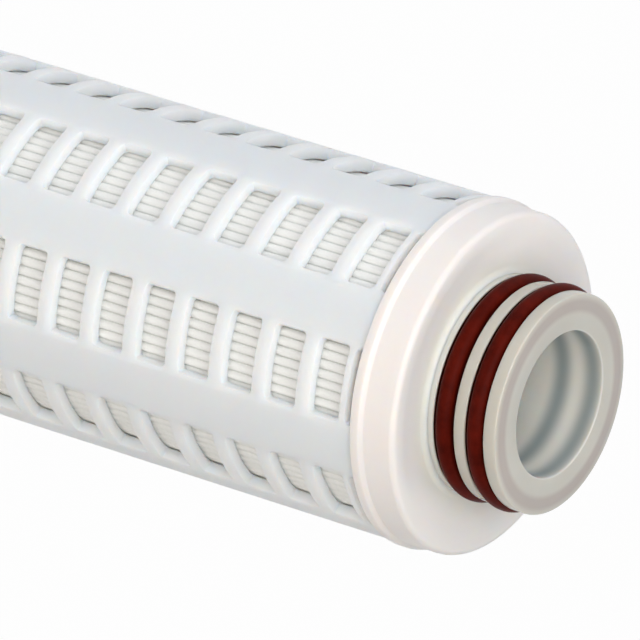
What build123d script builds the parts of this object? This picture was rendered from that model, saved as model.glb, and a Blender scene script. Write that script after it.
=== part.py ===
"""Pleated membrane filter cartridge with a double O-ring plug on one end.

The cartridge stands on its closed end: the origin is the centre of that end's flat face, and
+Z runs along the axis to the nose of the plug. Everything is in millimetres.
"""
import math
import os

from build123d import *

# Outer cage: a moulded tube with rows of windows
cage_radius = 34.5
cage_wall = 2.6
window_rows = 8
window_arc = 25.0
first_row_angle = 22.5
windows_per_row = 22
window_width = 6.75
window_pitch = 10.25
end_notch_depth = 1.6
end_half_rib = 1.75

# End caps: a face, a skirt round the pleat ends and a lip over the end of the cage
cap_height = 9.5
cap_face_wall = 4.5
cap_skirt_radius = 34.2
cap_skirt_wall = 2.5
cap_lip_radius = 35.0
cap_lip_height = 2.3
cap_edge_round = 1.2
cap_dish_depth = 1.5
cap_rim_radius = 31.0
neck_weld = 1.5
lip_edge = 0.3

# Plug adapter: lands and grooves for two O-rings of 3.53 mm section
plug_land_radius = 21.93
plug_groove_radius = 19.17
plug_bore_radius = 14.6
plug_length = 15.0
flange_thickness = 2.86
front_groove_width = 4.24
middle_land_width = 2.55
rear_groove_width = 4.75
plug_edge = 0.4
bore_edge = 0.5

# O-rings, each seated on the floor of its groove
ring_section = 3.53
front_ring_from_nose = 5.0
rear_ring_from_nose = 12.26

# Inner core: a perforated tube that holds the pleats from inside
core_outer_radius = 18.6
core_wall = 2.4
core_rows = 4
core_window_arc = 55.0
core_first_row_angle = 45.0
core_windows_per_row = 10
core_window_width = 14.0
core_window_pitch = 23.0

# Pleated media: three sheets folded together into a ring of radial pleats
pleat_count = 104
crest_radius = 31.3
valley_radius = 19.0
sheet_step = 0.7
sheet_names = ["upstream_support", "filter_membrane", "downstream_support"]

cage_inner_radius = cage_radius - cage_wall
window_rib = window_pitch - window_width
cage_end_band = end_half_rib + end_notch_depth
windows_span = (windows_per_row - 1) * window_pitch + window_width
cage_length = windows_span + 2 * cage_end_band
body_length = cage_length + 2 * cap_height
overall_length = body_length + plug_length
pack_bottom = cap_face_wall
pack_top = body_length - cap_face_wall
pack_length = pack_top - pack_bottom

os.makedirs("parts", exist_ok=True)


def save(piece, name):
    """Label a finished piece and write its STEP file."""
    piece.part.label = name
    export_step(piece.part, f"parts/{name}.step")


def sector(inner, outer, arc):
    """Return the sketch of a ring sector centred on +X."""
    half = math.radians(arc / 2)
    near_low = (inner * math.cos(half), -inner * math.sin(half))
    near_high = (inner * math.cos(half), inner * math.sin(half))
    far_low = (outer * math.cos(half), -outer * math.sin(half))
    far_high = (outer * math.cos(half), outer * math.sin(half))
    with BuildSketch() as ring_sector:
        with BuildLine():
            ThreePointArc(near_low, (inner, 0), near_high)
            Line(near_high, far_high)
            ThreePointArc(far_high, (outer, 0), far_low)
            Line(far_low, near_low)
        make_face()
    return ring_sector.sketch


# Outer cage, with open notches at both ends where the next windows would be
cage_bottom = cap_height
first_window = cage_bottom + cage_end_band
window_levels = [first_window + window_pitch * i for i in range(windows_per_row)]
cage_window = sector(cage_inner_radius - 1, cage_radius + 1, window_arc)
notch_levels = [cage_bottom, cage_bottom + cage_length - end_notch_depth]
with BuildPart() as outer_cage:
    with BuildSketch(Plane.XY.offset(cage_bottom)):
        Circle(cage_radius)
        Circle(cage_inner_radius, mode=Mode.SUBTRACT)
    extrude(amount=cage_length)
    with BuildSketch(*[Plane.XY.offset(level) for level in window_levels]):
        with PolarLocations(0, window_rows, start_angle=first_row_angle):
            add(cage_window)
    extrude(amount=window_width, mode=Mode.SUBTRACT)
    with BuildSketch(*[Plane.XY.offset(level) for level in notch_levels]):
        with PolarLocations(0, window_rows, start_angle=first_row_angle):
            add(cage_window)
    extrude(amount=end_notch_depth, mode=Mode.SUBTRACT)
save(outer_cage, "outer_cage")


# Outlet end cap: a dished face that rises to the plug's neck, a skirt and a lip over the cage's end
cap_skirt_inner = cap_skirt_radius - cap_skirt_wall
lip_top = body_length - cap_height + cap_lip_height
dish_level = body_length - cap_dish_depth
with BuildPart() as outlet_end_cap:
    with BuildSketch(Plane.XZ):
        with BuildLine():
            Polyline(
                (cap_skirt_radius, body_length - cap_edge_round),
                (cap_skirt_radius, lip_top),
                (cap_lip_radius - lip_edge, lip_top),
                (cap_lip_radius, lip_top - lip_edge),
                (cap_lip_radius, body_length - cap_height),
                (cap_skirt_inner, body_length - cap_height),
                (cap_skirt_inner, pack_top),
                (plug_land_radius, pack_top),
                (plug_land_radius, dish_level + neck_weld),
                (plug_land_radius + neck_weld, dish_level),
                (cap_rim_radius, body_length),
                (cap_skirt_radius - cap_edge_round, body_length),
            )
            RadiusArc(
                (cap_skirt_radius - cap_edge_round, body_length),
                (cap_skirt_radius, body_length - cap_edge_round),
                cap_edge_round,
            )
        make_face()
    revolve(axis=Axis.Z)
save(outlet_end_cap, "outlet_end_cap")

# Closed end cap: the same skirt and lip turned over, with a plain flat face
with BuildPart() as closed_end_cap:
    with BuildSketch(Plane.XZ):
        with BuildLine():
            Polyline(
                (cap_skirt_radius, cap_edge_round),
                (cap_skirt_radius, cap_height - cap_lip_height),
                (cap_lip_radius - lip_edge, cap_height - cap_lip_height),
                (cap_lip_radius, cap_height - cap_lip_height + lip_edge),
                (cap_lip_radius, cap_height),
                (cap_skirt_inner, cap_height),
                (cap_skirt_inner, pack_bottom),
                (0, pack_bottom),
                (0, 0),
                (cap_skirt_radius - cap_edge_round, 0),
            )
            RadiusArc(
                (cap_skirt_radius, cap_edge_round),
                (cap_skirt_radius - cap_edge_round, 0),
                cap_edge_round,
            )
        make_face()
    revolve(axis=Axis.Z)
save(closed_end_cap, "closed_end_cap")

# Plug adapter: turned profile with two square grooves, let into the outlet cap
nose = overall_length
front_groove_top = nose - flange_thickness
front_groove_floor = front_groove_top - front_groove_width
rear_groove_top = front_groove_floor - middle_land_width
rear_groove_floor = rear_groove_top - rear_groove_width
with BuildPart() as plug_adapter:
    with BuildSketch(Plane.XZ):
        with BuildLine():
            Polyline(
                (plug_bore_radius + bore_edge, nose),
                (plug_land_radius - plug_edge, nose),
                (plug_land_radius, nose - plug_edge),
                (plug_land_radius, front_groove_top),
                (plug_groove_radius, front_groove_top),
                (plug_groove_radius, front_groove_floor),
                (plug_land_radius, front_groove_floor),
                (plug_land_radius, rear_groove_top),
                (plug_groove_radius, rear_groove_top),
                (plug_groove_radius, rear_groove_floor),
                (plug_land_radius, rear_groove_floor),
                (plug_land_radius, pack_top),
                (plug_bore_radius, pack_top),
                (plug_bore_radius, nose - bore_edge),
                close=True,
            )
        make_face()
    revolve(axis=Axis.Z)
save(plug_adapter, "plug_adapter")

# O-rings, one in each groove
ring_places = {"front_o_ring": front_ring_from_nose, "rear_o_ring": rear_ring_from_nose}
for ring_name, from_nose in ring_places.items():
    with BuildPart() as o_ring:
        with BuildSketch(Plane.XZ):
            with Locations((plug_groove_radius + ring_section / 2, nose - from_nose)):
                Circle(ring_section / 2)
        revolve(axis=Axis.Z)
    save(o_ring, ring_name)

# Inner core, with rows of long windows that let the filtrate into the lumen
core_inner_radius = core_outer_radius - core_wall
core_windows_span = (core_windows_per_row - 1) * core_window_pitch + core_window_width
core_first_window = pack_bottom + (pack_length - core_windows_span) / 2
core_levels = [core_first_window + core_window_pitch * i for i in range(core_windows_per_row)]
core_window = sector(core_inner_radius - 1, core_outer_radius + 1, core_window_arc)
with BuildPart() as inner_core:
    with BuildSketch(Plane.XY.offset(pack_bottom)):
        Circle(core_outer_radius)
        Circle(core_inner_radius, mode=Mode.SUBTRACT)
    extrude(amount=pack_length)
    with BuildSketch(*[Plane.XY.offset(level) for level in core_levels]):
        with PolarLocations(0, core_rows, start_angle=core_first_row_angle):
            add(core_window)
    extrude(amount=core_window_width, mode=Mode.SUBTRACT)
save(inner_core, "inner_core")


def folds(boundary):
    """Return the closed zigzag of one sheet boundary, counted from the upstream side inwards."""
    crest = crest_radius - boundary * sheet_step
    valley = valley_radius + (len(sheet_names) - boundary) * sheet_step
    half_pleat = math.pi / pleat_count
    points = []
    for i in range(2 * pleat_count):
        radius = valley if i % 2 else crest
        points.append((radius * math.cos(i * half_pleat), radius * math.sin(i * half_pleat)))
    return points


# Pleated media: each sheet fills the space between two nested zigzags
for layer, sheet_name in enumerate(sheet_names):
    with BuildPart() as sheet:
        with BuildSketch(Plane.XY.offset(pack_bottom)):
            Polygon(*folds(layer), align=None)
            Polygon(*folds(layer + 1), align=None, mode=Mode.SUBTRACT)
        extrude(amount=pack_length)
    save(sheet, sheet_name)
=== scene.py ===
"""Looks of the pleated filter cartridge: finishes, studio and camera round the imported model.

The cartridge stands upright on its closed end. The camera leans over so that the barrel lies
across the picture with the plug at the lower right. Lengths are in metres.
"""
from __future__ import annotations

import logging
import math
from collections.abc import Callable
from dataclasses import dataclass, field
from enum import Enum

import bmesh
import bpy
from mathutils import Matrix, Vector

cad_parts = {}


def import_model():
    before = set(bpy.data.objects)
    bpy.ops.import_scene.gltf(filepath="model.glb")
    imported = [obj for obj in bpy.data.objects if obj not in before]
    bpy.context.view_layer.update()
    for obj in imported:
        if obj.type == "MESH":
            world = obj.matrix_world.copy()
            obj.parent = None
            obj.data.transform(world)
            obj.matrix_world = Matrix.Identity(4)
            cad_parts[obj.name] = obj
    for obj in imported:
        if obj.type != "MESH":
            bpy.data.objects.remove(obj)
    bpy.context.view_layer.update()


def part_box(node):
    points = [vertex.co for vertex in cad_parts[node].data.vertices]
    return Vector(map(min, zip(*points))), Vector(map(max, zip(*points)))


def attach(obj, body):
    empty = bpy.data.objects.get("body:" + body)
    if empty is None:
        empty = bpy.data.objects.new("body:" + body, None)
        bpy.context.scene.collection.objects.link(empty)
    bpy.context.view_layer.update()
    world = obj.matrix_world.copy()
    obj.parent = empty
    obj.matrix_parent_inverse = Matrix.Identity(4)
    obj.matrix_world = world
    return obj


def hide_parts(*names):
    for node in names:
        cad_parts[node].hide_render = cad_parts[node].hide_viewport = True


LOG = logging.getLogger("filter_cartridge")
MM = 0.001
ORIGIN = (0.0, 0.0, 0.0)
SAME_PLACE = 0.001 * MM
POLYPROPYLENE_IOR = 1.49

Point = tuple[float, float]
Profile = list[Point]
Colour = tuple[float, float, float]
Piece = bpy.types.Object
Material = bpy.types.Material
Socket = bpy.types.NodeSocket
Value = Socket | float


class Sheet(Enum):
    """The three sheets of the pleated pack, from the outside in, named as their nodes."""

    UPSTREAM = "upstream_support"
    MEMBRANE = "filter_membrane"
    DOWNSTREAM = "downstream_support"


class Seal(Enum):
    """The two O-rings, named as their nodes."""

    FRONT = "front_o_ring"
    REAR = "rear_o_ring"


class CapEnd(Enum):
    """Which end of the cartridge a cap closes, named as its node."""

    OUTLET = "outlet_end_cap"
    CLOSED = "closed_end_cap"


def arc(centre: Point, radius: float, start: float, end: float, steps: int) -> Profile:
    """Points along a round stretch of a turned profile.

    Args:
        centre: radius and height of the arc's centre.
        radius: radius of the arc.
        start: first angle in degrees, 0 pointing outwards and 90 upwards.
        end: last angle in degrees.
        steps: number of equal steps.

    Returns:
        Points as (radius, height), both ends included.
    """
    points = []
    for i in range(steps + 1):
        angle = math.radians(start + (end - start) * i / steps)
        points.append((centre[0] + radius * math.cos(angle), centre[1] + radius * math.sin(angle)))
    return points


class Bench:
    """Modelling steps that every piece shares, done with Blender's own operators."""

    @staticmethod
    def clear() -> None:
        """Leave edit mode and select nothing."""
        if bpy.context.object and bpy.context.object.mode != "OBJECT":
            bpy.ops.object.mode_set(mode="OBJECT")
        bpy.ops.object.select_all(action="DESELECT")

    @staticmethod
    def name(piece: Piece, name: str) -> None:
        """Give a piece and its mesh one name."""
        piece.name = name
        piece.data.name = name

    @staticmethod
    def select_faces(piece: Piece, wanted: Callable[[Vector], bool]) -> int:
        """Select the faces of the piece in edit mode whose centre passes a test.

        Args:
            piece: the piece that is in edit mode.
            wanted: function of a face centre that is true for the faces to select.

        Returns:
            How many faces were selected.
        """
        bpy.ops.mesh.select_mode(type="FACE")
        bpy.ops.mesh.select_all(action="DESELECT")
        mesh = bmesh.from_edit_mesh(piece.data)
        count = 0
        for face in mesh.faces:
            if wanted(face.calc_center_median()):
                face.select_set(True)
                count += 1
        bmesh.update_edit_mesh(piece.data)
        return count

    @staticmethod
    def finish(piece: Piece, smooth_angle: float = 32.0) -> Piece:
        """Point the faces outwards, shade the piece smooth and leave edit mode.

        Args:
            piece: the piece, in either mode.
            smooth_angle: sharpest edge in degrees that is still shaded smooth.

        Returns:
            The same piece.
        """
        Bench.clear()
        bpy.context.view_layer.objects.active = piece
        piece.select_set(True)
        bpy.ops.object.mode_set(mode="EDIT")
        bpy.ops.mesh.select_all(action="SELECT")
        bpy.ops.mesh.normals_make_consistent(inside=False)
        bpy.ops.object.mode_set(mode="OBJECT")
        bpy.ops.object.shade_smooth_by_angle(angle=math.radians(smooth_angle))
        bpy.ops.object.transform_apply(location=True, rotation=True, scale=True)
        return piece

    @staticmethod
    def modifier(piece: Piece, kind: str, **settings: object) -> None:
        """Add a modifier and apply it.

        Args:
            piece: the piece.
            kind: Blender's name for the kind of modifier.
            **settings: values of the modifier's properties.
        """
        Bench.clear()
        bpy.context.view_layer.objects.active = piece
        piece.select_set(True)
        tool = piece.modifiers.new(kind.title(), kind)
        for key, value in settings.items():
            setattr(tool, key, value)
        bpy.ops.object.modifier_apply(modifier=tool.name)

    @staticmethod
    def bevel(piece: Piece, width: float, segments: int = 2, angle: float = 35.0) -> None:
        """Break the sharp edges of a piece.

        Args:
            piece: the piece.
            width: how far the bevel reaches from the edge.
            segments: number of steps across it.
            angle: bluntest edge in degrees that is still broken.
        """
        Bench.modifier(
            piece, "BEVEL", width=width, segments=segments, limit_method="ANGLE",
            angle_limit=math.radians(angle), use_clamp_overlap=True, miter_outer="MITER_ARC",
        )

    @staticmethod
    def turned(name: str, profile: Profile, steps: int = 192) -> Piece:
        """Spin a closed profile round the Z axis.

        Args:
            name: name of the piece.
            profile: points as (radius, height), in order round the section.
            steps: number of flats round the axis.

        Returns:
            The turned piece, with its seam and any pole merged.
        """
        Bench.clear()
        bpy.ops.mesh.primitive_plane_add(size=MM)
        piece = bpy.context.object
        Bench.name(piece, name)
        bpy.ops.object.mode_set(mode="EDIT")
        bpy.ops.mesh.select_mode(type="VERT")
        bpy.ops.mesh.select_all(action="SELECT")
        bpy.ops.mesh.merge(type="CENTER")
        bpy.ops.transform.translate(value=(profile[0][0], 0, profile[0][1]))
        for (radius, height), (last_radius, last_height) in zip(profile[1:] + profile[:1], profile):
            step = (radius - last_radius, 0, height - last_height)
            bpy.ops.mesh.extrude_vertices_move(TRANSFORM_OT_translate={"value": step})
        bpy.ops.mesh.select_all(action="SELECT")
        bpy.ops.mesh.remove_doubles(threshold=SAME_PLACE)
        bpy.ops.mesh.select_all(action="SELECT")
        bpy.ops.mesh.spin(steps=steps, angle=2 * math.pi, center=ORIGIN, axis=(0, 0, 1))
        bpy.ops.mesh.select_all(action="SELECT")
        bpy.ops.mesh.remove_doubles(threshold=SAME_PLACE)
        bpy.ops.object.mode_set(mode="OBJECT")
        return piece

    @staticmethod
    def tube(name: str, radius: float, flats: int, levels: list[float]) -> Piece:
        """Extrude a circle upwards ring by ring.

        Args:
            name: name of the piece.
            radius: radius of the tube.
            flats: number of flats round the axis, the first vertex on +X.
            levels: heights of the rings, lowest first.

        Returns:
            An open tube with one row of faces between each pair of levels.
        """
        Bench.clear()
        bpy.ops.mesh.primitive_circle_add(vertices=flats, radius=radius, location=(0, 0, levels[0]))
        piece = bpy.context.object
        Bench.name(piece, name)
        bpy.ops.object.transform_apply(location=True, rotation=True, scale=True)
        bpy.ops.object.mode_set(mode="EDIT")
        bpy.ops.mesh.select_mode(type="EDGE")
        bpy.ops.mesh.select_all(action="SELECT")
        for low, high in zip(levels, levels[1:]):
            bpy.ops.mesh.extrude_edges_move(TRANSFORM_OT_translate={"value": (0, 0, high - low)})
        bpy.ops.mesh.select_all(action="SELECT")
        bpy.ops.mesh.normals_make_consistent(inside=False)
        bpy.ops.object.mode_set(mode="OBJECT")
        return piece


@dataclass(frozen=True)
class Grain:
    """One noise over a piece's own coordinates.

    The scale is in spots per metre, detail counts the finer layers, roughness is how strong
    they are, and stretch holds factors on the three coordinates.
    """

    scale: float
    detail: float = 2.0
    roughness: float = 0.5
    stretch: tuple[float, float, float] = (1, 1, 1)


class NodeTree:
    """A material's nodes, with short ways to add and join them."""

    GREY_LOW = 0.35
    GREY_HIGH = 0.65
    RAMP_STOPS = (0.3, 0.7)

    def __init__(self, name: str) -> None:
        """Start a material that holds only its output and one Principled shader.

        Args:
            name: name of the material.
        """
        self.material = bpy.data.materials.new(name)
        self.material.use_nodes = True
        self.nodes = self.material.node_tree.nodes
        self.links = self.material.node_tree.links
        self.shader = self.nodes["Principled BSDF"]
        self.output = self.nodes["Material Output"]
        self.coordinates = self.nodes.new("ShaderNodeTexCoord").outputs["Object"]

    def link(self, source: Socket, target: Socket) -> None:
        """Join an output socket to an input socket."""
        self.links.new(source, target)

    def noise(self, grain: Grain) -> Socket:
        """Add a noise over the piece's own coordinates.

        Args:
            grain: what the noise is like.

        Returns:
            The noise's grey output socket.
        """
        mapping = self.nodes.new("ShaderNodeMapping")
        mapping.inputs["Scale"].default_value = grain.stretch
        self.link(self.coordinates, mapping.inputs["Vector"])
        noise = self.nodes.new("ShaderNodeTexNoise")
        noise.inputs["Scale"].default_value = grain.scale
        noise.inputs["Detail"].default_value = grain.detail
        noise.inputs["Roughness"].default_value = grain.roughness
        self.link(mapping.outputs["Vector"], noise.inputs["Vector"])
        return noise.outputs["Fac"]

    def spread(
        self, source: Socket, low: float, high: float, start: float = GREY_LOW, end: float = GREY_HIGH,
    ) -> Socket:
        """Map a value from one range to another, held at the ends.

        Args:
            source: the value's socket.
            low: value at the start of the source's range.
            high: value at the end of the source's range.
            start: where the source's range starts.
            end: where the source's range ends.

        Returns:
            The mapped output socket.
        """
        remap = self.nodes.new("ShaderNodeMapRange")
        remap.inputs["From Min"].default_value = start
        remap.inputs["From Max"].default_value = end
        remap.inputs["To Min"].default_value = low
        remap.inputs["To Max"].default_value = high
        self.link(source, remap.inputs["Value"])
        return remap.outputs["Result"]

    def colours(self, source: Socket, low: Colour, high: Colour) -> Socket:
        """Mix two colours by a grey value.

        Args:
            source: the grey output socket.
            low: linear colour where the source is dark.
            high: linear colour where the source is light.

        Returns:
            The colour output socket.
        """
        ramp = self.nodes.new("ShaderNodeValToRGB")
        for stop, position, colour in zip(ramp.color_ramp.elements, self.RAMP_STOPS, (low, high)):
            stop.position = position
            stop.color = (*colour, 1)
        self.link(source, ramp.inputs["Fac"])
        return ramp.outputs["Color"]

    def math(self, operation: str, first: Value, second: Value = 0.0) -> Socket:
        """Work out one grey value from two.

        Args:
            operation: name of the math node's operation.
            first: a socket or a number.
            second: a socket or a number.

        Returns:
            The result's socket.
        """
        node = self.nodes.new("ShaderNodeMath")
        node.operation = operation
        for place, value in enumerate((first, second)):
            if isinstance(value, (int, float)):
                node.inputs[place].default_value = value
            else:
                self.link(value, node.inputs[place])
        return node.outputs["Value"]

    def from_axis(self) -> tuple[Socket, Socket]:
        """Find where a point lies to the piece's Z axis.

        Returns:
            Sockets of the distance from the axis and of the height along it, in metres.
        """
        apart = self.nodes.new("ShaderNodeSeparateXYZ")
        self.link(self.coordinates, apart.inputs["Vector"])
        squares = [self.math("MULTIPLY", apart.outputs[axis], apart.outputs[axis]) for axis in "XY"]
        radius = self.math("SQRT", self.math("ADD", *squares))
        return radius, apart.outputs["Z"]

    def band(self, source: Socket, middle: float, half: float, soft: float) -> Socket:
        """Mask a stretch of a value, with soft ends.

        Args:
            source: the value's socket.
            middle: middle of the stretch.
            half: half its width.
            soft: width over which the mask fades at each end.

        Returns:
            Socket that is 1 within the stretch and 0 outside.
        """
        off = self.math("ABSOLUTE", self.math("SUBTRACT", source, middle))
        fade = self.spread(off, 1.0, 0.0, half - soft / 2, half + soft / 2)
        fade.node.interpolation_type = "SMOOTHSTEP"
        return fade

    def below(self, source: Socket, place: float, soft: float) -> Socket:
        """Mask the values below a place, which fades within a soft distance on both sides."""
        return self.spread(source, 1.0, 0.0, place - soft, place + soft)

    def mixed(self, share: Socket, first: Socket, second: Colour) -> Socket:
        """Lay a plain colour over a colour socket.

        Args:
            share: how much of the plain colour shows.
            first: the colour socket.
            second: the plain linear colour.

        Returns:
            The mixed colour's socket.
        """
        mix = self.nodes.new("ShaderNodeMix")
        mix.data_type = "RGBA"
        self.link(share, mix.inputs["Factor"])
        self.link(first, mix.inputs["A"])
        mix.inputs["B"].default_value = (*second, 1)
        return mix.outputs["Result"]

    def bump(self, height: Socket, depth: float) -> None:
        """Raise the shader's surface.

        Args:
            height: the grey socket that says where.
            depth: how far, in metres.
        """
        bump = self.nodes.new("ShaderNodeBump")
        bump.inputs["Distance"].default_value = depth
        self.link(height, bump.inputs["Height"])
        self.link(bump.outputs["Normal"], self.shader.inputs["Normal"])

    def sum(self, first: Socket, second: Socket, weight: float) -> Socket:
        """Add a part of one grey value to another.

        Args:
            first: the socket that counts in full.
            second: the socket that is added.
            weight: how much of it is added.

        Returns:
            The sum's socket.
        """
        add = self.nodes.new("ShaderNodeMath")
        add.operation = "MULTIPLY_ADD"
        self.link(second, add.inputs[0])
        add.inputs[1].default_value = weight
        self.link(first, add.inputs[2])
        return add.outputs["Value"]


@dataclass(frozen=True)
class MilkyPlastic:
    """Moulded polypropylene that lets light wander under its surface."""

    name: str
    pale: Colour
    shaded: Colour
    light_depth: float
    depth_tint: Colour
    # Painted shade: a darker greenish tone on the cap's face near the neck, where it meets the plug.
    painted_neck_shade: Colour | None = None
    neck_from: float = 27.5 * MM
    neck_to: float = 22.5 * MM
    smoothest: float = 0.32
    roughest: float = 0.46
    clouds: Grain = Grain(45, 3, 0.55)
    satin: Grain = Grain(420, 3, 0.6)
    fine: Grain = Grain(2600)
    fine_share: float = 0.35
    grain_depth: float = 0.012 * MM

    def material(self) -> Material:
        """Mix the cloudy colour, the satin grain and the light under the surface, with painted shade
        near the neck where one is given.

        Returns:
            The material.
        """
        tree = NodeTree(self.name)
        shader = tree.shader
        colour = tree.colours(tree.noise(self.clouds), self.shaded, self.pale)
        # Painted shade near the neck, faded in from neck_from to neck_to.
        if self.painted_neck_shade:
            radius, _ = tree.from_axis()
            near = tree.spread(radius, 1.0, 0.0, self.neck_to, self.neck_from)
            colour = tree.mixed(near, colour, self.painted_neck_shade)
        tree.link(colour, shader.inputs["Base Color"])
        satin = tree.noise(self.satin)
        tree.link(tree.spread(satin, self.smoothest, self.roughest), shader.inputs["Roughness"])
        shader.inputs["IOR"].default_value = POLYPROPYLENE_IOR
        shader.inputs["Subsurface Weight"].default_value = 1.0
        shader.inputs["Subsurface Radius"].default_value = self.depth_tint
        shader.inputs["Subsurface Scale"].default_value = self.light_depth
        tree.bump(tree.sum(satin, tree.noise(self.fine), self.fine_share), self.grain_depth)
        return tree.material


@dataclass(frozen=True)
class ClearPlastic:
    """Unpigmented polypropylene, cloudy and a little clear, with painted light and shade where the
    bore and the seals lie behind its wall.
    """

    name: str
    pale: Colour
    shaded: Colour
    nose: float
    # Painted shade: the rear land below the neck is shown darker and greener.
    neck: Colour = (0.84, 0.83, 0.76)
    neck_depth: float = 14.4 * MM
    neck_soft: float = 0.1 * MM
    # Painted light: the bore's wall is shown lighter, as if lit through the plastic.
    painted_bore_light: Colour = (0.92, 0.91, 0.85)
    bore: float = 14.8 * MM
    bore_soft: float = 0.15 * MM
    # Painted shadows of the two seals, seen through the wall as bluish bands in the bore.
    seal_shadow_in_bore: Colour = (0.42, 0.47, 0.47)
    seal_shadow_depths: tuple[float, float] = (2.3 * MM, 9.3 * MM)
    seal_shadow_half: float = 1.7 * MM
    seal_shadow_soft: float = 3.3 * MM
    # Painted shade, tinted red by light off the rubber, on the groove floors and walls beside the
    # seals.
    painted_groove_shade: Colour = (0.07, 0.015, 0.012)
    groove_depths: tuple[float, float] = (4.98 * MM, 12.03 * MM)
    groove_half: float = 2.5 * MM
    groove_soft: float = 0.2 * MM
    groove_wall: float = 19.9 * MM
    groove_wall_half: float = 1.7 * MM
    groove_wall_soft: float = 0.3 * MM
    # Painted shade of the front seal seen through the flange, as a ring on the nose face.
    seal_shade_on_face: Colour = (0.46, 0.36, 0.34)
    face_share: float = 0.55
    face_from: float = 0.9 * MM
    face_to: float = 0.2 * MM
    ring: float = 19.7 * MM
    ring_half: float = 1.3 * MM
    ring_soft: float = 1.4 * MM
    clearness: float = 0.15
    light_depth: float = 1.4 * MM
    depth_tint: Colour = (1.0, 0.8, 0.65)
    smoothest: float = 0.13
    roughest: float = 0.21
    clouds: Grain = Grain(70, 3)
    satin: Grain = Grain(900)
    turning: Grain = Grain(260, stretch=(1, 1, 6))
    turning_share: float = 0.8
    grain_depth: float = 0.008 * MM

    def body_colour(self, tree: NodeTree) -> Socket:
        """Mix the milky body colour with painted light and shade: a lighter bore, shadows of the seals
        in the bore and on the nose face, dark red shade in the grooves and shade on the rear land
        below the neck.

        Args:
            tree: the material's nodes.

        Returns:
            The colour's socket.
        """
        colour = tree.colours(tree.noise(self.clouds), self.shaded, self.pale)
        radius, height = tree.from_axis()
        # Painted shade on the rear land below the neck.
        on_neck = tree.below(height, self.nose - self.neck_depth, self.neck_soft)
        colour = tree.mixed(on_neck, colour, self.neck)
        # Painted light: inside the bore the wall is shown lighter; the same bore mask also holds the
        # painted seal shadows.
        in_bore = tree.below(radius, self.bore, self.bore_soft)
        colour = tree.mixed(in_bore, colour, self.painted_bore_light)
        # Painted shadows of the seals as two bands in the bore.
        for depth in self.seal_shadow_depths:
            band = tree.band(height, self.nose - depth, self.seal_shadow_half, self.seal_shadow_soft)
            colour = tree.mixed(tree.math("MULTIPLY", band, in_bore), colour, self.seal_shadow_in_bore)
        # Painted shade, tinted red by the rubber, in the two grooves.
        in_groove = tree.band(radius, self.groove_wall, self.groove_wall_half, self.groove_wall_soft)
        for depth in self.groove_depths:
            groove = tree.band(height, self.nose - depth, self.groove_half, self.groove_soft)
            colour = tree.mixed(tree.math("MULTIPLY", groove, in_groove), colour, self.painted_groove_shade)
        # Painted shade of the front seal as a ring on the nose face.
        ring = tree.band(radius, self.ring, self.ring_half, self.ring_soft)
        on_face = tree.spread(
            height, 0.0, self.face_share, self.nose - self.face_from, self.nose - self.face_to
        )
        return tree.mixed(tree.math("MULTIPLY", ring, on_face), colour, self.seal_shade_on_face)

    def material(self) -> Material:
        """Mix the part-clear, part-milky body.

        Returns:
            The material.
        """
        tree = NodeTree(self.name)
        shader = tree.shader
        tree.link(self.body_colour(tree), shader.inputs["Base Color"])
        satin = tree.noise(self.satin)
        tree.link(tree.spread(satin, self.smoothest, self.roughest), shader.inputs["Roughness"])
        shader.inputs["IOR"].default_value = POLYPROPYLENE_IOR
        shader.inputs["Transmission Weight"].default_value = self.clearness
        shader.inputs["Subsurface Weight"].default_value = 1.0
        shader.inputs["Subsurface Radius"].default_value = self.depth_tint
        shader.inputs["Subsurface Scale"].default_value = self.light_depth
        tree.bump(tree.sum(satin, tree.noise(self.turning), self.turning_share), self.grain_depth)
        return tree.material


@dataclass(frozen=True)
class SealRubber:
    """Dark red-brown moulded rubber with a faint bloom."""

    name: str = "seal_rubber"
    dark: Colour = (0.052, 0.0035, 0.0015)
    light: Colour = (0.102, 0.007, 0.003)
    smoothest: float = 0.34
    roughest: float = 0.46
    refraction: float = 1.5
    shine: float = 0.03
    bloom: Grain = Grain(240, 4, 0.6)
    grain: Grain = Grain(3200)
    grain_depth: float = 0.006 * MM

    def material(self) -> Material:
        """Mix a satin surface with a fine moulding grain.

        Returns:
            The material.
        """
        tree = NodeTree(self.name)
        shader = tree.shader
        bloom = tree.noise(self.bloom)
        tree.link(tree.colours(bloom, self.dark, self.light), shader.inputs["Base Color"])
        tree.link(tree.spread(bloom, self.smoothest, self.roughest), shader.inputs["Roughness"])
        shader.inputs["IOR"].default_value = self.refraction
        shader.inputs["Specular IOR Level"].default_value = self.shine
        tree.bump(tree.noise(self.grain), self.grain_depth)
        return tree.material


@dataclass(frozen=True)
class SheetFinish:
    """Pleated sheet: a non-woven support or a smooth membrane."""

    name: str
    pale: Colour
    shaded: Colour
    fibre_depth: float
    smoothest: float = 0.55
    roughest: float = 0.85
    fibres: Grain = Grain(1500, 4, 0.7, (1, 1, 0.25))
    clouds: Grain = Grain(160, 3, 0.6)

    def material(self) -> Material:
        """Mix a cloudy colour with fibres that run along the pleats.

        Returns:
            The material.
        """
        tree = NodeTree(self.name)
        shader = tree.shader
        fibres = tree.noise(self.fibres)
        colour = tree.colours(tree.noise(self.clouds), self.shaded, self.pale)
        tree.link(colour, shader.inputs["Base Color"])
        tree.link(tree.spread(fibres, self.smoothest, self.roughest), shader.inputs["Roughness"])
        tree.bump(fibres, self.fibre_depth)
        return tree.material


class Part:
    """A sub-assembly: it models its pieces and hands them to the frame."""

    def place(self, piece: Piece, node: str, slot: str, material: Material) -> Piece:
        """Dress a finished piece and let it stand for its node.

        Args:
            piece: the modelled piece.
            node: name of the CAD node that it replaces.
            slot: material slot of the record; not used.
            material: its finish.

        Returns:
            The same piece.
        """
        piece.data.materials.clear()
        piece.data.materials.append(material)
        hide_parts(node)
        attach(piece, "root")
        triangles = sum(len(face.vertices) - 2 for face in piece.data.polygons)
        LOG.info("%s stands for %s, %d triangles", piece.name, node, triangles)
        return piece


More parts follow.
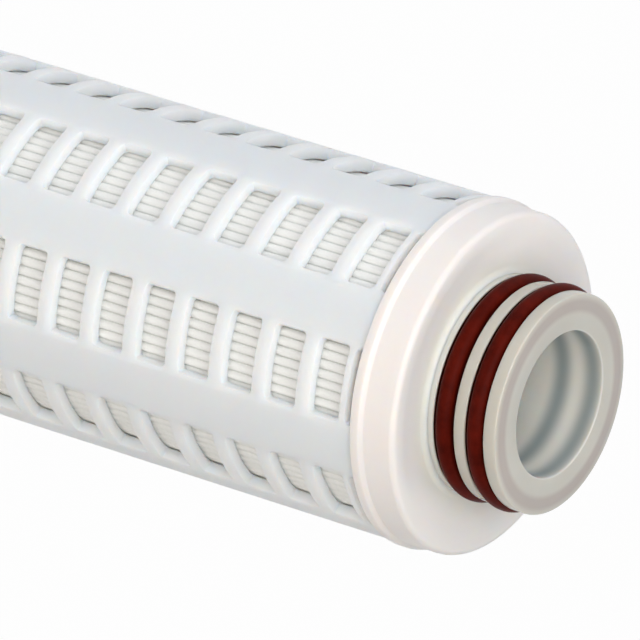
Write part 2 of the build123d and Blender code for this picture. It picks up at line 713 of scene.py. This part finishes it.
@dataclass
class WindowedTube(Part):
    """A moulded tube with rows of windows: the outer cage or the inner core."""

    node: str
    slot: str
    radius: float
    wall: float
    flats: int
    rows: int
    first_row: float
    window_arc: float
    window_width: float
    window_pitch: float
    windows: int
    notch: float = 0.0
    edge: float = 0.2 * MM

    def window_levels(self, bottom: float, top: float) -> list[Point]:
        """Find how high the windows lie, centred between the tube's ends.

        Args:
            bottom: height of the tube's lower end.
            top: height of its upper end.

        Returns:
            Lowest and highest height of each window of a row.
        """
        span = (self.windows - 1) * self.window_pitch + self.window_width
        first = (bottom + top - span) / 2
        starts = [first + self.window_pitch * i for i in range(self.windows)]
        return [(start, start + self.window_width) for start in starts]

    def in_window(self, centre: Vector, openings: list[Point]) -> bool:
        """Tell whether a face is cut away.

        Args:
            centre: the face's centre.
            openings: lowest and highest height of each opening of a row.

        Returns:
            True if the centre lies in one of the openings and in one of the rows.
        """
        spacing = 360 / self.rows
        angle = math.degrees(math.atan2(centre.y, centre.x)) - self.first_row
        off_row = abs((angle + spacing / 2) % spacing - spacing / 2)
        return off_row < self.window_arc / 2 and any(low < centre.z < high for low, high in openings)

    def build(self, material: Material) -> Piece:
        """Model the tube, cut its windows, give it its wall and break its edges.

        Args:
            material: the finish.

        Returns:
            The finished piece.
        """
        low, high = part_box(self.node)
        openings = self.window_levels(low.z, high.z)
        if self.notch:
            openings += [(low.z, low.z + self.notch), (high.z - self.notch, high.z)]
        ends = [(low.z, high.z)]
        levels = sorted({round(z, 7) for opening in openings + ends for z in opening})
        piece = Bench.tube(self.node.replace("_", "-"), self.radius, self.flats, levels)
        bpy.ops.object.mode_set(mode="EDIT")
        count = Bench.select_faces(piece, lambda centre: self.in_window(centre, openings))
        bpy.ops.mesh.delete(type="FACE")
        LOG.info("%s: %d faces cut away", self.node, count)
        Bench.modifier(piece, "SOLIDIFY", thickness=self.wall, offset=-1, use_even_offset=True)
        Bench.bevel(piece, self.edge)
        Bench.finish(piece)
        return self.place(piece, self.node, self.slot, material)


@dataclass
class PleatPack(Part):
    """Three sheets folded together into radial pleats between the core and the cage."""

    pleats: int = 104
    crest: float = 31.7 * MM
    valley: float = 19.15 * MM
    crest_fill: float = 0.955
    valley_gap: float = 0.34 * MM
    thickness: float = 0.12 * MM
    layer_step: float = 0.13 * MM
    rises: int = 24
    crest_end: float = 84.0
    valley_start: float = 100.0
    outer_steps: tuple[int, int] = (5, 3)
    inner_steps: tuple[int, int] = (3, 2)
    unevenness: float = 0.20 * MM
    unevenness_spread: float = 2.6 * MM
    waviness: float = 0.30 * MM
    waviness_spread: float = 24 * MM
    second_spread: float = 1.13
    smooth_angle: float = 60.0

    def fold(self, inset: float, crest_steps: int, valley_steps: int) -> Profile:
        """One pleat of a sheet's outer face, from the middle of one valley to the next.

        Args:
            inset: how far this sheet lies inside the outermost one.
            crest_steps: steps of a quarter of the rounded crest.
            valley_steps: steps of a quarter of the rounded valley.

        Returns:
            Points as (angle from the crest, radius), the last valley point left out.
        """
        half_pitch = math.pi / self.pleats
        crest_round = self.crest_fill * half_pitch * self.crest - inset
        valley_round = self.valley_gap / 2 + inset
        crest_centre = (self.crest - inset - crest_round, 0)
        valley_centre = (self.valley - inset + valley_round, 0)
        crest = arc(crest_centre, crest_round, 0, self.crest_end, crest_steps)
        valley = arc(valley_centre, valley_round, self.valley_start, 180, valley_steps)
        falling = [(across / along, along) for along, across in crest]
        falling += [(half_pitch - across / along, along) for along, across in valley]
        rising = [(-angle, radius) for angle, radius in reversed(falling[1:])]
        return rising + falling[:-1]

    def cut_width(self, fold: Profile) -> float:
        """Work out how wide a sheet was before it was folded.

        Args:
            fold: one of its pleats, as (angle, radius).

        Returns:
            The length round all its pleats.
        """
        pitch = 2 * math.pi / self.pleats
        points = fold + [(fold[0][0] + pitch, fold[0][1])]
        corners = [
            Vector((radius * math.cos(angle), radius * math.sin(angle))) for angle, radius in points
        ]
        return self.pleats * sum((far - near).length for near, far in zip(corners, corners[1:]))

    def ripple(self, piece: Piece, spread: float, strength: float) -> None:
        """Push a sheet gently to and fro across the axis, each sheet the same way at one place.

        Args:
            piece: the sheet.
            spread: size of the ripples in metres.
            strength: how far apart the furthest pushes lie.
        """
        for axis, share in (("X", 1.0), ("Y", self.second_spread)):
            texture = bpy.data.textures.new(f"ripple_{axis.lower()}", "CLOUDS")
            texture.noise_scale = spread * share
            texture.noise_depth = 1
            Bench.modifier(
                piece, "DISPLACE", direction=axis, texture=texture, texture_coords="LOCAL",
                mid_level=0.5, strength=strength,
            )

    def folded(self, sheet: Sheet, inset: float) -> Piece:
        """Fold one sheet, pull it up to its length and give it its thickness.

        Each point of a circle is pulled to its radius and turned to its angle before the
        circle is extruded upwards.

        Args:
            sheet: which sheet.
            inset: how far it lies inside the outermost one.

        Returns:
            The folded sheet.
        """
        low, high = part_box(sheet.value)
        fold = self.fold(inset, *(self.outer_steps if sheet is Sheet.UPSTREAM else self.inner_steps))
        Bench.clear()
        bpy.ops.mesh.primitive_circle_add(
            vertices=self.pleats * len(fold), radius=self.crest, location=(0, 0, low.z)
        )
        piece = bpy.context.object
        Bench.name(piece, sheet.value.replace("_", "-"))
        bpy.ops.object.transform_apply(location=True, rotation=True, scale=True)
        bpy.ops.object.mode_set(mode="EDIT")
        bpy.ops.mesh.select_mode(type="VERT")
        pitch = 2 * math.pi / self.pleats
        for place, (angle, radius) in enumerate(fold):
            bpy.ops.mesh.select_all(action="DESELECT")
            mesh = bmesh.from_edit_mesh(piece.data)
            for vertex in list(mesh.verts)[place::len(fold)]:
                vertex.select_set(True)
            bmesh.update_edit_mesh(piece.data)
            scale = radius / self.crest
            bpy.ops.transform.resize(value=(scale, scale, 1), center_override=ORIGIN)
            turn = angle + (0.5 - place / len(fold)) * pitch
            bpy.ops.transform.rotate(value=-turn, orient_axis="Z", center_override=ORIGIN)
        bpy.ops.object.mode_set(mode="OBJECT")
        self.ripple(piece, self.unevenness_spread, self.unevenness)
        bpy.ops.object.mode_set(mode="EDIT")
        bpy.ops.mesh.select_mode(type="EDGE")
        bpy.ops.mesh.select_all(action="SELECT")
        rise = (high.z - low.z) / self.rises
        for _ in range(self.rises):
            bpy.ops.mesh.extrude_edges_move(TRANSFORM_OT_translate={"value": (0, 0, rise)})
        bpy.ops.mesh.select_all(action="SELECT")
        bpy.ops.mesh.normals_make_consistent(inside=False)
        bpy.ops.object.mode_set(mode="OBJECT")
        self.ripple(piece, self.waviness_spread, self.waviness)
        Bench.modifier(piece, "SOLIDIFY", thickness=self.thickness, offset=-1, use_even_offset=True)
        return Bench.finish(piece, self.smooth_angle)

    def build(self, finishes: dict[Sheet, Material]) -> list[Piece]:
        """Model the sheets one inside the other.

        Args:
            finishes: the finish of each sheet.

        Returns:
            The finished pieces.
        """
        pieces = []
        for layer, sheet in enumerate(Sheet):
            piece = self.folded(sheet, layer * self.layer_step)
            slot = "membrane_sheet" if sheet is Sheet.MEMBRANE else "support_sheet"
            pieces.append(self.place(piece, sheet.value, slot, finishes[sheet]))
        return pieces


@dataclass
class EndCap(Part):
    """A moulded cap: a face, a skirt round the pleat ends and a lip over the end of the cage."""

    end: CapEnd
    height: float = 9.5 * MM
    face_wall: float = 4.5 * MM
    skirt_radius: float = 34.2 * MM
    skirt_wall: float = 2.5 * MM
    lip_radius: float = 35.0 * MM
    lip_height: float = 2.3 * MM
    edge_round: float = 1.2 * MM
    dish: float = 1.5 * MM
    rim_radius: float = 31.0 * MM
    hole: float = 21.8 * MM
    weld: float = 1.5 * MM
    round_steps: int = 8
    edge: float = 0.12 * MM
    edge_angle: float = 40.0
    lip_slope: tuple[Point, ...] = ((0, 0.5 * MM), (-0.35 * MM, 0.1 * MM))
    lip_foot: float = 0.3 * MM
    rim_slope: tuple[Point, ...] = ((0.4 * MM, 0), (-0.6 * MM, 0.08 * MM))

    def section(self) -> Profile:
        """Draw the cap's section.

        Returns:
            Points as (radius, depth below the face).
        """
        skirt_inner = self.skirt_radius - self.skirt_wall
        lip_edge = self.height - self.lip_height
        edge_centre = (self.skirt_radius - self.edge_round, self.edge_round)
        edge = arc(edge_centre, self.edge_round, 0, 90, self.round_steps)
        outside = [(self.lip_radius, self.height)]
        outside += [(self.lip_radius + out, lip_edge + down) for out, down in self.lip_slope]
        outside += [(self.skirt_radius, lip_edge - self.lip_foot)]
        outside += [(radius, 2 * self.edge_round - height) for radius, height in edge]
        inside = [(skirt_inner, self.face_wall), (skirt_inner, self.height)]
        if self.end is CapEnd.CLOSED:
            middle = [(0, 0), (0, self.face_wall)]
        else:
            weld = arc((self.hole + self.weld, self.weld), self.weld, 270, 180, self.round_steps)
            middle = [(self.rim_radius + out, down) for out, down in self.rim_slope]
            middle += [(radius, self.dish - height) for radius, height in weld]
            middle += [(self.hole, self.face_wall)]
        return outside + middle + inside

    def build(self, material: Material) -> Piece:
        """Turn the cap and break its sharp edges.

        Args:
            material: the finish.

        Returns:
            The finished piece.
        """
        low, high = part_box(self.end.value)
        if self.end is CapEnd.OUTLET:
            profile = [(radius, high.z - depth) for radius, depth in self.section()]
        else:
            profile = [(radius, low.z + depth) for radius, depth in self.section()]
        piece = Bench.turned(self.end.value.replace("_", "-"), profile)
        Bench.bevel(piece, self.edge, angle=self.edge_angle)
        Bench.finish(piece)
        return self.place(piece, self.end.value, "cap_plastic", material)


@dataclass
class Plug(Part):
    """The double O-ring plug: a turned adapter with two grooves, and the seals in them."""

    land: float = 21.93 * MM
    groove: float = 19.17 * MM
    bore: float = 14.6 * MM
    flange: float = 2.86 * MM
    front_width: float = 4.24 * MM
    middle_land: float = 2.55 * MM
    rear_width: float = 4.75 * MM
    seal_section: float = 3.53 * MM
    seal_steps: int = 40
    seat: float = 19.19 * MM
    edge: float = 0.3 * MM
    edge_segments: int = 3
    edge_angle: float = 40.0
    smooth_angle: float = 60.0

    def section(self, nose: float, inner_end: float) -> Profile:
        """Draw the adapter's section.

        Args:
            nose: height of the nose.
            inner_end: height of the other end.

        Returns:
            Points as (radius, height).
        """
        depths = [self.flange, self.front_width, self.middle_land, self.rear_width]
        points = [(self.bore, nose), (self.land, nose)]
        height = nose
        for step, depth in enumerate(depths):
            height -= depth
            radii = (self.land, self.groove) if step % 2 == 0 else (self.groove, self.land)
            points += [(radii[0], height), (radii[1], height)]
        return points + [(self.land, inner_end), (self.bore, inner_end)]

    def adapter(self, material: Material) -> Piece:
        """Turn the adapter and break its edges.

        Args:
            material: the finish.

        Returns:
            The finished piece.
        """
        low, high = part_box("plug_adapter")
        piece = Bench.turned("plug-adapter", self.section(high.z, low.z))
        Bench.bevel(piece, self.edge, self.edge_segments, self.edge_angle)
        Bench.finish(piece)
        return self.place(piece, "plug_adapter", "plug_plastic", material)

    def seal(self, which: Seal, material: Material) -> Piece:
        """Turn one O-ring, a little flattened where it sits on its groove's floor.

        Args:
            which: which of the two.
            material: the finish.

        Returns:
            The finished piece.
        """
        low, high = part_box(which.value)
        radius = self.seal_section / 2
        centre = (self.groove + radius, (low.z + high.z) / 2)
        profile = arc(centre, radius, 0, 360, self.seal_steps)[:-1]
        profile = [(max(distance, self.seat), height) for distance, height in profile]
        piece = Bench.turned(which.value.replace("_", "-"), profile)
        Bench.finish(piece, self.smooth_angle)
        return self.place(piece, which.value, "seal_rubber", material)

    def build(self, clear: Material, rubber: Material) -> list[Piece]:
        """Model the adapter and both seals.

        Args:
            clear: finish of the adapter.
            rubber: finish of the seals.

        Returns:
            The finished pieces.
        """
        return [self.adapter(clear)] + [self.seal(which, rubber) for which in Seal]


@dataclass(frozen=True)
class Lamp:
    """A square soft light that looks at the cartridge's plug end."""

    name: str
    turn: float
    lift: float
    power: float
    colour: Colour
    distance: float = 2.0
    size: float = 1.8

    def build(self, target: Vector, axes: tuple[Vector, Vector, Vector]) -> Piece:
        """Hang the lamp, hidden from the camera.

        Args:
            target: point that it is aimed at.
            axes: directions along the barrel, out towards the camera, and across.

        Returns:
            The lamp.
        """
        along, out, across = axes
        turn, lift = math.radians(self.turn), math.radians(self.lift)
        level = math.cos(turn) * out + math.sin(turn) * across
        way = math.sin(lift) * along + math.cos(lift) * level
        Bench.clear()
        bpy.ops.object.light_add(type="AREA", location=target + way * self.distance)
        lamp = bpy.context.object
        lamp.name = self.name
        lamp.data.shape = "SQUARE"
        lamp.data.size = self.size
        lamp.data.energy = self.power
        lamp.data.color = self.colour
        lamp.rotation_mode = "QUATERNION"
        lamp.rotation_quaternion = way.to_track_quat("Z", "Y")
        lamp.visible_camera = False
        return lamp


@dataclass
class Studio:
    """Plain pale floor, white surroundings, soft lamps and the camera.

    Lamps are turned round the barrel from the side that faces the camera, and lifted towards
    the plug.
    """

    facing: float = -81.9
    nose_up: float = 953.35 * MM
    nose_out: float = 1641.6 * MM
    nose_across: float = -1.91 * MM
    lens: float = 558.5
    near: float = 0.05
    far: float = 60.0
    right: tuple[float, float, float] = (0.8136, -0.5008, -0.2950)
    back: tuple[float, float] = (0.5241, 0.8515)
    aim_depth: float = 60 * MM
    floor_radius: float = 6.0
    floor_sides: int = 96
    floor_colour: Colour = (0.86, 0.86, 0.86)
    floor_roughness: float = 0.9
    floor_white: float = 0.97
    room_colour: Colour = (0.96, 0.98, 1.0)
    room_light: float = 0.08
    room_white: float = 1.0
    lamps: list[Lamp] = field(default_factory=lambda: [
        Lamp("side-light", -90, 15, 12.0, (0.92, 0.94, 1.0)),
        Lamp("key-light", 15, 50, 21.0, (0.98, 1.0, 0.98)),
        Lamp("fill-light", -30, 50, 17.0, (0.96, 0.955, 0.98)),
        Lamp("front-light", 25, 15, 8.0, (1.0, 0.76, 0.60)),
        Lamp("back-light", 165, 50, 4.0, (0.97, 0.99, 1.0)),
    ])

    def axes(self) -> tuple[Vector, Vector, Vector]:
        """Find the directions that the lamps and the camera are placed by.

        Returns:
            Along the barrel, out of it towards the camera, and across the picture.
        """
        angle = math.radians(self.facing)
        out = Vector((math.cos(angle), math.sin(angle), 0))
        along = Vector((0, 0, 1))
        return along, out, along.cross(out)

    def camera(self, nose: Vector) -> Piece:
        """Place the camera as it stood to the nose of the plug.

        Args:
            nose: centre of the plug's front face.

        Returns:
            The camera.
        """
        along, out, across = self.axes()
        Bench.clear()
        bpy.ops.object.camera_add()
        camera = bpy.context.object
        camera.name = "camera"
        right = self.right[0] * along + self.right[1] * out + self.right[2] * across
        back = self.back[0] * along + self.back[1] * out
        right = (right - back * right.dot(back) / back.dot(back)).normalized()
        back.normalize()
        up = back.cross(right)
        turn = Matrix((right, up, back)).transposed().to_4x4()
        place = nose + self.nose_up * along + self.nose_out * out + self.nose_across * across
        camera.matrix_world = Matrix.Translation(place) @ turn
        camera.data.lens = self.lens
        camera.data.clip_start = self.near
        camera.data.clip_end = self.far
        bpy.context.scene.camera = camera
        return camera

    def floor(self) -> Piece:
        """Lay a wide round floor, which shows white but keeps a soft shadow.

        Returns:
            The floor.
        """
        Bench.clear()
        bpy.ops.mesh.primitive_circle_add(
            vertices=self.floor_sides, radius=self.floor_radius, fill_type="NGON"
        )
        floor = bpy.context.object
        Bench.name(floor, "floor")
        tree = NodeTree("pale_floor")
        tree.shader.inputs["Base Color"].default_value = (*self.floor_colour, 1)
        tree.shader.inputs["Roughness"].default_value = self.floor_roughness
        plain = tree.shader.outputs["BSDF"]
        self.white_to_camera(tree.nodes, tree.links, plain, tree.output, self.floor_white)
        floor.data.materials.append(tree.material)
        return floor

    @staticmethod
    def white_to_camera(
        nodes: bpy.types.Nodes,
        links: bpy.types.NodeLinks,
        plain: Socket,
        output: bpy.types.Node,
        share: float,
    ) -> None:
        """Show a surface as white to the camera, in gloss and through clear plastic.

        Args:
            nodes: nodes of the tree.
            links: links of the tree.
            plain: output of the shader that lights the scene.
            output: the tree's output node.
            share: how much of the white is seen.
        """
        path = nodes.new("ShaderNodeLightPath")
        kind = "ShaderNodeEmission" if output.type == "OUTPUT_MATERIAL" else "ShaderNodeBackground"
        white = nodes.new(kind)
        white.inputs["Color"].default_value = (1, 1, 1, 1)
        white.inputs["Strength"].default_value = 1.0
        seen = path.outputs["Is Camera Ray"]
        for ray in ("Is Glossy Ray", "Is Transmission Ray"):
            either = nodes.new("ShaderNodeMath")
            either.operation = "MAXIMUM"
            links.new(seen, either.inputs[0])
            links.new(path.outputs[ray], either.inputs[1])
            seen = either.outputs["Value"]
        part = nodes.new("ShaderNodeMath")
        part.operation = "MULTIPLY"
        part.inputs[1].default_value = share
        links.new(seen, part.inputs[0])
        mix = nodes.new("ShaderNodeMixShader")
        links.new(part.outputs["Value"], mix.inputs["Fac"])
        links.new(plain, mix.inputs[1])
        links.new(white.outputs[0], mix.inputs[2])
        links.new(mix.outputs[0], output.inputs["Surface"])

    def surroundings(self) -> None:
        """Fill the room with plain soft light that shows as white."""
        world = bpy.data.worlds.new("white_room")
        bpy.context.scene.world = world
        world.use_nodes = True
        nodes = world.node_tree.nodes
        links = world.node_tree.links
        plain = nodes["Background"]
        plain.inputs["Color"].default_value = (*self.room_colour, 1)
        plain.inputs["Strength"].default_value = self.room_light
        self.white_to_camera(
            nodes, links, plain.outputs["Background"], nodes["World Output"], self.room_white
        )

    def build(self, nose: Vector) -> None:
        """Set up the floor, the light and the camera.

        Args:
            nose: centre of the plug's front face.
        """
        bpy.context.scene.view_settings.view_transform = "Standard"
        self.floor()
        self.surroundings()
        target = nose - Vector((0, 0, self.aim_depth))
        for lamp in self.lamps:
            lamp.build(target, self.axes())
        self.camera(nose)


def main() -> None:
    """Build the studio and the cartridge in order."""
    logging.basicConfig(level=logging.INFO, format="%(message)s")
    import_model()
    nose = Vector((0, 0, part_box("plug_adapter")[1].z))
    Studio().build(nose)

    cage_plastic = MilkyPlastic(
        "cage_plastic", pale=(0.93, 0.94, 0.94), shaded=(0.905, 0.92, 0.92),
        light_depth=6.0 * MM, depth_tint=(1.0, 0.75, 0.6),
    )
    # The cap gets painted shade on its face near the neck.
    cap_plastic = MilkyPlastic(
        "cap_plastic", pale=(0.93, 0.885, 0.86), shaded=(0.91, 0.865, 0.84),
        light_depth=1.0 * MM, depth_tint=(1.0, 0.85, 0.7), painted_neck_shade=(0.84, 0.83, 0.76),
    )
    core_plastic = MilkyPlastic(
        "core_plastic", pale=(0.92, 0.91, 0.87), shaded=(0.90, 0.89, 0.85),
        light_depth=3.0 * MM, depth_tint=(1.0, 0.9, 0.8),
    )
    # The plug plastic's defaults paint light and shade: a lighter bore, seal shadows, shade in the
    # grooves and a darker rear land.
    plug_plastic = ClearPlastic(
        "plug_plastic", pale=(0.70, 0.68, 0.61), shaded=(0.66, 0.64, 0.57), nose=nose.z
    )
    support = SheetFinish(
        "support_sheet", pale=(0.925, 0.94, 0.925), shaded=(0.895, 0.915, 0.90), fibre_depth=0.03 * MM
    )
    membrane = SheetFinish(
        "membrane_sheet", pale=(0.975, 0.975, 0.97), shaded=(0.96, 0.96, 0.955), fibre_depth=0.005 * MM
    )

    cage = WindowedTube(
        node="outer_cage", slot="cage_plastic", radius=34.5 * MM, wall=2.6 * MM, flats=144, rows=8,
        first_row=22.5, window_arc=25, window_width=6.75 * MM, window_pitch=10.25 * MM, windows=22,
        notch=1.6 * MM, edge=0.7 * MM,
    )
    core = WindowedTube(
        node="inner_core", slot="core_plastic", radius=18.6 * MM, wall=2.4 * MM, flats=144, rows=4,
        first_row=45, window_arc=55, window_width=14 * MM, window_pitch=23 * MM, windows=10,
    )
    cage.build(cage_plastic.material())
    core.build(core_plastic.material())
    cap_material = cap_plastic.material()
    for end in CapEnd:
        EndCap(end).build(cap_material)
    Plug().build(plug_plastic.material(), SealRubber().material())
    support_material = support.material()
    PleatPack().build({
        Sheet.UPSTREAM: support_material,
        Sheet.MEMBRANE: membrane.material(),
        Sheet.DOWNSTREAM: support_material,
    })


if __name__ == "__main__":
    main()
